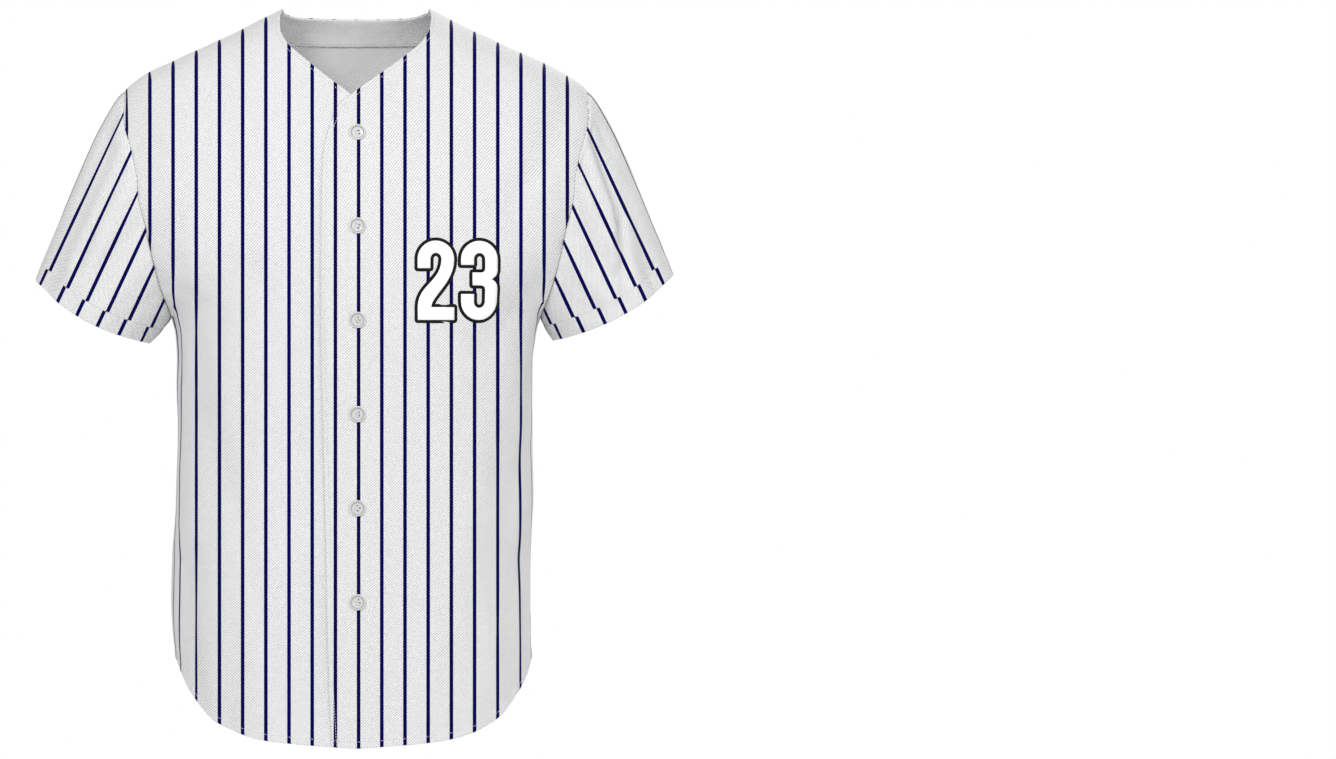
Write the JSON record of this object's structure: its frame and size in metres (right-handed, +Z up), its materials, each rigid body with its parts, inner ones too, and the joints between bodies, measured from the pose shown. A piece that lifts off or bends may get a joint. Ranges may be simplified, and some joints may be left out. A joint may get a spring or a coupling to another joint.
{
  "type": "baseball jersey",
  "caption": "Short-sleeved button-front baseball jersey with a V neck and shirt-tail hem, a hollow form filled out as when worn.",
  "frame": {"origin": "on the centre plane at the height of the neck-shoulder points, where the wearer's shoulders carry the jersey", "axes": "+X to the wearer's left, the front faces -Y, +Z up"},
  "size_m": [0.6935, 0.2784, 0.7939],
  "materials": {
    "jersey_cloth": "matt white polyester knit with navy pinstripes",
    "neck_facing": "matt plain inner side of the knit",
    "button": "white polyester resin, polished"
  },
  "bodies": {
    "root": {"front_left": "jersey_cloth", "front_right": "jersey_cloth", "back": "jersey_cloth", "sleeve_left": "jersey_cloth", "sleeve_right": "jersey_cloth", "back_neck_facing": "neck_facing", "button_1": "button", "button_2": "button", "button_3": "button", "button_4": "button", "button_5": "button", "button_6": "button"}
  },
  "joints": []
}
